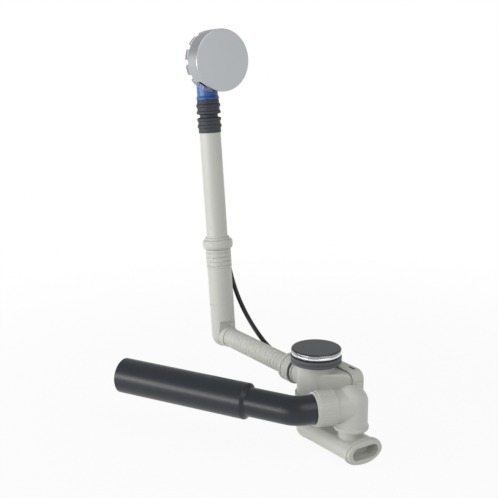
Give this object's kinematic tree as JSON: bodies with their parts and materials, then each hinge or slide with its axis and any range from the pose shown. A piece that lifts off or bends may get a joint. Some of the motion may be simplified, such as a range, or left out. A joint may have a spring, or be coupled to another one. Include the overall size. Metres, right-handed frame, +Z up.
{
  "type": "bath waste and overflow",
  "caption": "Bath waste and overflow: a turn handle pulls a cable that lifts the valve lid; hose, trap, elbow and drain pipe in plastic.",
  "frame": {"origin": "centre of the bath's waste hole, on top of the gasket that seals the bath's underside", "axes": "+Z up along the valve's axis, +X from the overflow towards the waste, outlet on the -Y side"},
  "size_m": [0.4159, 0.2665, 0.5569],
  "materials": {
    "grey_plastic": "moulded, satin",
    "rubber": "matte",
    "chrome": "polished",
    "blue_plastic": "moulded",
    "pale_plastic": "milky",
    "inner_plastic": "moulded",
    "black_plastic": "satin",
    "cable_black": "satin sheath",
    "steel": "bright"
  },
  "bodies": {
    "waste": {"seat_flange": "chrome", "stem_guide": "inner_plastic", "bath_gasket": "rubber", "waste_body": "grey_plastic", "shaft_seal": "rubber", "crank_hood": "grey_plastic", "hood_screws": "steel", "ribbed_hose": "grey_plastic", "inlet_nut": "grey_plastic", "inlet_seal": "rubber", "overflow_sleeve": "grey_plastic", "pipe_seal": "rubber", "seal_cap": "grey_plastic", "lower_ferrule": "black_plastic", "pull_cable": "cable_black", "trap": "grey_plastic", "joint_seal": "rubber", "cleaning_cap": "grey_plastic", "cap_seal": "rubber"},
    "overflow_head": {"overflow_pipe": "grey_plastic", "gaiter": "rubber", "overflow_body": "blue_plastic", "backing_ring": "pale_plastic", "wall_gasket": "rubber", "front_nut": "blue_plastic", "drum_case": "black_plastic", "drum_wire": "steel", "upper_ferrule": "black_plastic"},
    "handle": {"turn_handle": "chrome", "handle_hub": "inner_plastic", "spindle": "steel", "spindle_clip": "steel", "cable_drum": "inner_plastic"},
    "valve": {"valve_lid": "chrome", "valve_plug": "inner_plastic", "valve_seal": "rubber", "valve_stem": "steel"},
    "lever": {"lift_lever": "inner_plastic", "crank_arm": "steel"},
    "wire": {"pull_wire": "steel"},
    "outlet": {"outlet_elbow": "grey_plastic", "outlet_nut": "grey_plastic", "outlet_seal": "rubber", "riser_seal": "rubber"},
    "drain": {"drain_bend": "black_plastic"}
  },
  "joints": [
    {"name": "overflow_height", "type": "slide", "parent": "waste", "child": "overflow_head", "axis": [-0.1097, 0, 0.994], "range_m": [-0.04, 0.03], "deforming": ["pull_cable"]},
    {"name": "handle_turn", "type": "hinge", "parent": "overflow_head", "child": "handle", "pos_m": [-0.2772, 0, 0.38196], "axis": [0.994, 0, 0.1097], "range_deg": [0, 90]},
    {"name": "valve_lift", "type": "slide", "parent": "waste", "child": "valve", "axis": [0, 0, 1], "range_m": [0, 0.01]},
    {"name": "lever_swing", "type": "hinge", "parent": "waste", "child": "lever", "pos_m": [0.021, 0, -0.0293], "axis": [0, 1, 0], "range_deg": [0, 27.55]},
    {"name": "wire_pull", "type": "slide", "parent": "waste", "child": "wire", "axis": [-1, 0, 0], "range_m": [0, 0.00857]},
    {"name": "outlet_swivel", "type": "hinge", "parent": "waste", "child": "outlet", "pos_m": [0.078, 0, -0.048], "axis": [0, 0, 1], "range_deg": [-3, 120]},
    {"name": "drain_turn", "type": "hinge", "parent": "outlet", "child": "drain", "pos_m": [0.078, 0, -0.048], "axis": [-0.3173, -0.9483, 0], "range_deg": [-90, 90]}
  ],
  "couplings": [
    {"joint": "valve_lift", "follows": "handle_turn", "m_per_rad": 0.0063661},
    {"joint": "lever_swing", "follows": "handle_turn", "ratio": 0.30609},
    {"joint": "wire_pull", "follows": "handle_turn", "m_per_rad": 0.0054567}
  ]
}
